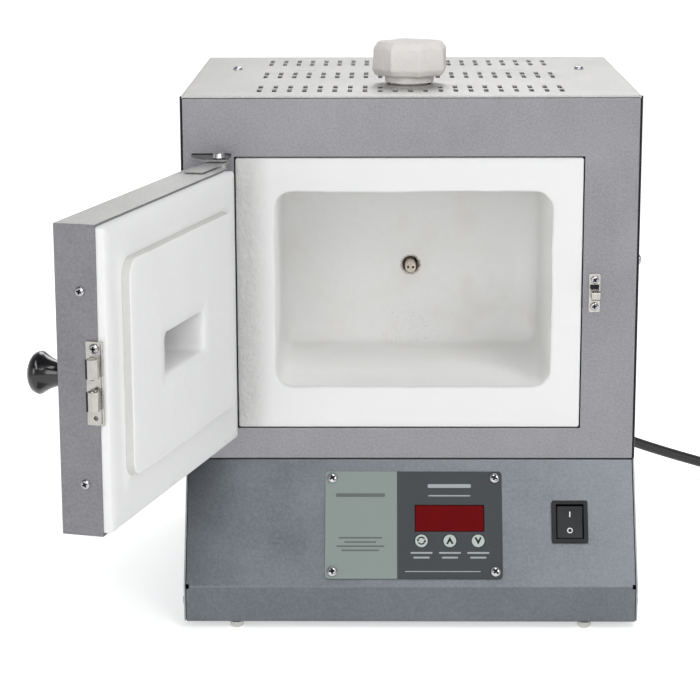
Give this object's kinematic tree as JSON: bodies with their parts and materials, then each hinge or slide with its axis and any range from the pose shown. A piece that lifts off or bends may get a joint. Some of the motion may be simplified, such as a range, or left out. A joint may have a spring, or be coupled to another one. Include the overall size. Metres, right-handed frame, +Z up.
{
  "type": "glass kiln",
  "caption": "Bench-top electric kiln for glass and enamel: fibre chamber in a zinc-coated steel case, side-hinged windowed door, vent plug and sloping control panel.",
  "frame": {"origin": "Bottom centre of the box round every part but the free cord, its coil and its plug, with the door open as stored. The feet stand on z = 0.", "axes": "+X to the right of a person facing the kiln, +Y towards the back of the kiln, +Z up."},
  "size_m": [0.6135, 0.6137, 0.3935],
  "materials": {
    "zinc_steel": "zinc-coated sheet, satin",
    "nickel_plate": "bright nickel plate",
    "ceramic_fibre": "soft white fibre",
    "fibre_board": "off-white fibre board",
    "fired_ceramic": "unglazed, cream",
    "black_plastic": "matte black",
    "black_phenolic": "gloss black",
    "cord_rubber": "black cord sheath",
    "element_sheath": "heat-darkened sheath",
    "pane_glass": "clear pane",
    "faceplate_grey": "grey overlay",
    "red_lens": "dark red lens",
    "circuit_green": "circuit board",
    "terminal_cream": "cream terminal strip",
    "key_white": "light keys"
  },
  "bodies": {
    "case": {"base_chassis": "zinc_steel", "base_side_left": "zinc_steel", "base_side_right": "zinc_steel", "case_wrap": "zinc_steel", "chamber_deck": "zinc_steel", "circuit_board": "circuit_green", "cord_coil": "cord_rubber", "cord_lead": "cord_rubber", "cord_tail": "cord_rubber", "display_module": "black_plastic", "display_window": "red_lens", "element_left": "element_sheath", "element_right": "element_sheath", "faceplate": "faceplate_grey", "firing_chamber": "ceramic_fibre", "foot_front_left": "nickel_plate", "foot_front_right": "nickel_plate", "foot_rear_left": "nickel_plate", "foot_rear_right": "nickel_plate", "front_panel": "zinc_steel", "hinge_leaf_bottom": "zinc_steel", "hinge_leaf_top": "zinc_steel", "hinge_pin_bottom": "zinc_steel", "hinge_pin_top": "zinc_steel", "insulation_back": "fibre_board", "insulation_bottom": "fibre_board", "insulation_left": "fibre_board", "insulation_right": "fibre_board", "insulation_top": "fibre_board", "mains_plug": "black_plastic", "rear_panel": "zinc_steel", "relay": "black_plastic", "strain_relief": "black_plastic", "strike_plate": "nickel_plate", "switch_bezel": "black_plastic", "terminal_block": "terminal_cream", "thermocouple": "fired_ceramic", "thermocouple_block": "black_plastic", "transformer": "zinc_steel"},
    "door": {"door_pan": "zinc_steel", "door_insulation": "ceramic_fibre", "door_window": "pane_glass", "window_frame": "zinc_steel", "door_knob": "black_phenolic", "knob_screw": "nickel_plate", "hinge_arm_top": "zinc_steel", "hinge_arm_bottom": "zinc_steel", "catch_body": "nickel_plate", "catch_screw": "nickel_plate", "catch_spring_upper": "nickel_plate", "catch_spring_lower": "nickel_plate", "catch_adjuster_upper": "nickel_plate", "catch_adjuster_lower": "nickel_plate"},
    "upper_ball": {"catch_ball_upper": "nickel_plate"},
    "lower_ball": {"catch_ball_lower": "nickel_plate"},
    "plug": {"vent_plug": "fired_ceramic"},
    "start_key": {"key_start": "key_white"},
    "up_key": {"key_up": "key_white"},
    "down_key": {"key_down": "key_white"},
    "rocker": {"power_rocker": "black_phenolic"}
  },
  "joints": [
    {"name": "door_swing", "type": "hinge", "parent": "case", "child": "door", "pos_m": [-0.09192, -0.03374, 0.228], "axis": [0, 0, 1], "range_deg": [-74.7, 105.3]},
    {"name": "vent_plug_lift", "type": "slide", "parent": "case", "child": "plug", "axis": [0, 0, 1], "range_m": [0, 0.065]},
    {"name": "upper_ball_press", "type": "slide", "parent": "door", "child": "upper_ball", "axis": [0, 0, 1], "range_m": [0, 0.0012], "stiffness_N_per_m": 1500, "springref_m": -0.002, "deforming": ["catch_spring_upper"]},
    {"name": "lower_ball_press", "type": "slide", "parent": "door", "child": "lower_ball", "axis": [0, 0, -1], "range_m": [0, 0.0012], "stiffness_N_per_m": 1500, "springref_m": -0.002, "deforming": ["catch_spring_lower"]},
    {"name": "start_key_press", "type": "slide", "parent": "case", "child": "start_key", "axis": [0, 0.8796, -0.4757], "range_m": [0, 0.0005], "stiffness_N_per_m": 800, "springref_m": -0.0005},
    {"name": "up_key_press", "type": "slide", "parent": "case", "child": "up_key", "axis": [0, 0.8796, -0.4757], "range_m": [0, 0.0005], "stiffness_N_per_m": 800, "springref_m": -0.0005},
    {"name": "down_key_press", "type": "slide", "parent": "case", "child": "down_key", "axis": [0, 0.8796, -0.4757], "range_m": [0, 0.0005], "stiffness_N_per_m": 800, "springref_m": -0.0005},
    {"name": "rocker_tip", "type": "hinge", "parent": "case", "child": "rocker", "pos_m": [0.14678, -0.03403, 0.06957], "axis": [1, 0, 0], "range_deg": [-16, 0]}
  ]
}
